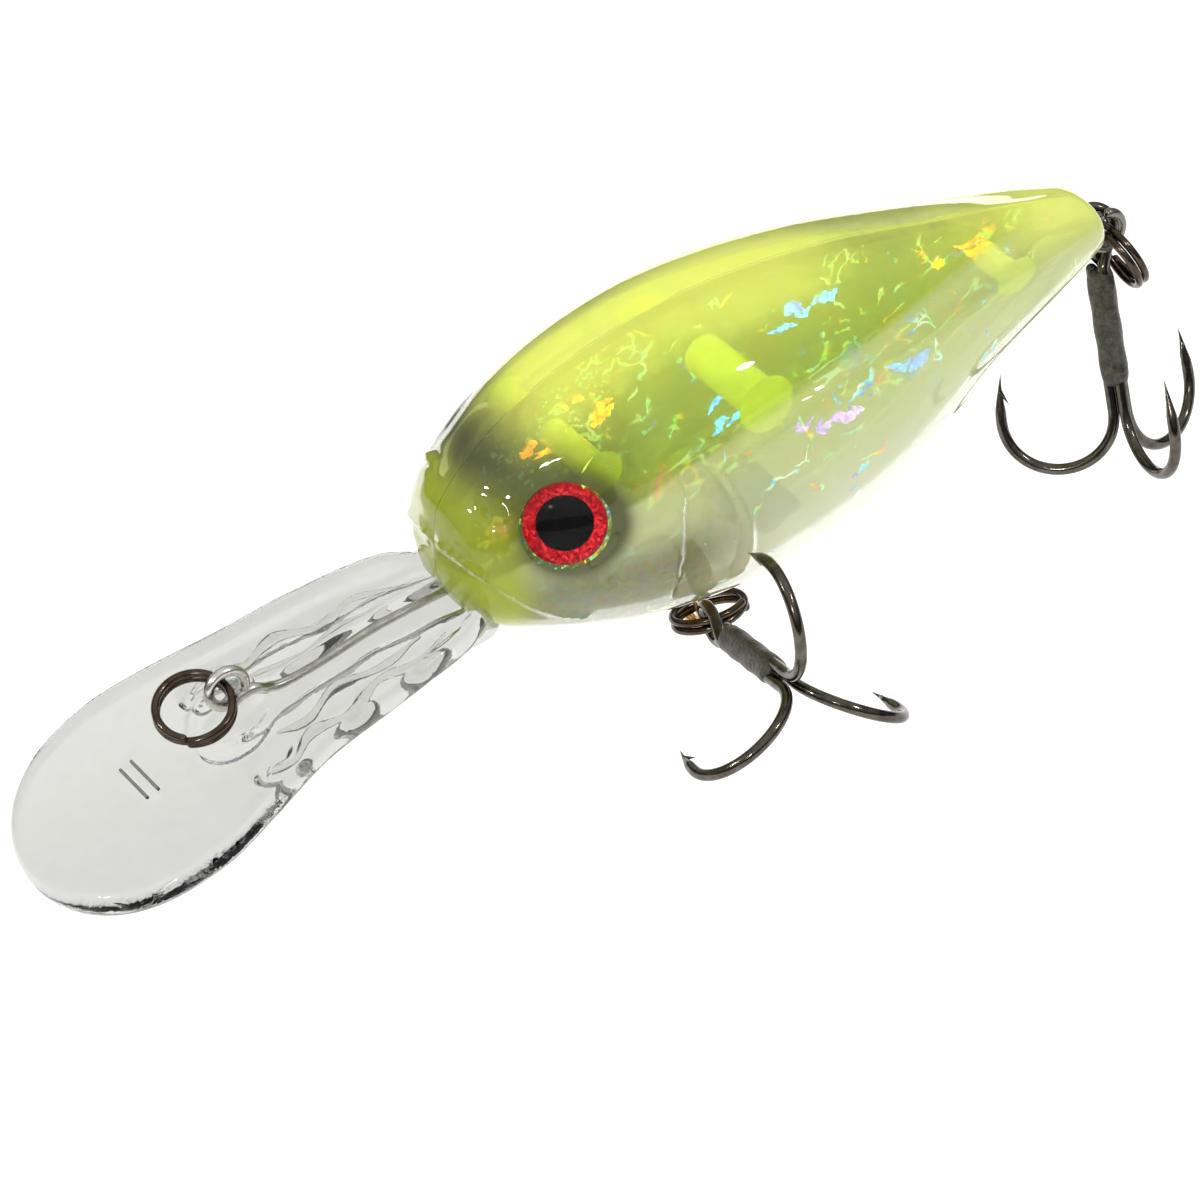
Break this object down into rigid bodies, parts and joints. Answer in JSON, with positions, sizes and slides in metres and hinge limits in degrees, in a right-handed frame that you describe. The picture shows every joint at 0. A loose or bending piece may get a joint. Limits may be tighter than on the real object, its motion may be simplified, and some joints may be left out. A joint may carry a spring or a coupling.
{
  "type": "crankbait lure",
  "caption": "Deep-diving crankbait: clear two-part body with inner reflective film, long round diving lip, red domed eyes, split rings and two swinging treble hooks.",
  "frame": {"origin": "centre of the line tie's wire eye, over the diving lip", "axes": "+X towards the tail, +Z towards the back, the left flank faces -Y"},
  "size_m": [0.0982, 0.0341, 0.0307],
  "materials": {
    "tinted_clear_plastic": "clear moulded plastic, chartreuse back fading to a clear belly",
    "clear_lip_plastic": "clear polished moulding",
    "holographic_film": "creased aurora film",
    "ballast_metal": "dull cast metal",
    "bright_wire": "drawn stainless wire",
    "brass_wire": "golden brown drawn wire",
    "iris_foil": "red glitter foil with a black pupil",
    "eye_resin": "clear domed resin",
    "black_nickel": "black nickel plating",
    "brazed_steel": "matt grey brazing under the plating"
  },
  "bodies": {
    "lure_body": {"left_shell": "tinted_clear_plastic", "right_shell": "tinted_clear_plastic", "diving_lip": "clear_lip_plastic", "inner_film": "holographic_film", "ballast_weight": "ballast_metal", "line_tie_wire": "bright_wire", "belly_hanger": "brass_wire", "tail_hanger": "bright_wire", "left_eye_foil": "iris_foil", "right_eye_foil": "iris_foil", "left_eye_dome": "eye_resin", "right_eye_dome": "eye_resin"},
    "line_ring": {"line_tie_ring": "black_nickel"},
    "belly_split_ring": {"belly_ring": "black_nickel"},
    "belly_hook": {"belly_treble_double": "black_nickel", "belly_treble_single": "black_nickel", "belly_treble_braze": "brazed_steel"},
    "tail_split_ring": {"tail_ring": "black_nickel"},
    "tail_hook": {"tail_treble_double": "black_nickel", "tail_treble_single": "black_nickel", "tail_treble_braze": "brazed_steel"}
  },
  "joints": [
    {"name": "line_ring_swing", "type": "hinge", "parent": "lure_body", "child": "line_ring", "pos_m": [0, 0, 0], "axis": [0, 1, 0], "range_deg": [-5, 150]},
    {"name": "belly_ring_swing", "type": "hinge", "parent": "lure_body", "child": "belly_split_ring", "pos_m": [0.0367, 0, -0.0116], "axis": [1, 0, 0], "range_deg": [0, 160]},
    {"name": "belly_hook_swing", "type": "hinge", "parent": "belly_split_ring", "child": "belly_hook", "pos_m": [0.03558, -0.00475, -0.00987], "axis": [0.9063, -0.3971, 0.1445], "range_deg": [-3, 75]},
    {"name": "tail_ring_swing", "type": "hinge", "parent": "lure_body", "child": "tail_split_ring", "pos_m": [0.0746, 0, 0.0035], "axis": [0, 1, 0], "range_deg": [-70, 15]},
    {"name": "tail_hook_swing", "type": "hinge", "parent": "tail_split_ring", "child": "tail_hook", "pos_m": [0.07492, 0.00203, 0.00261], "axis": [0.262, 0.6428, -0.7198], "range_deg": [-3, 12]}
  ]
}
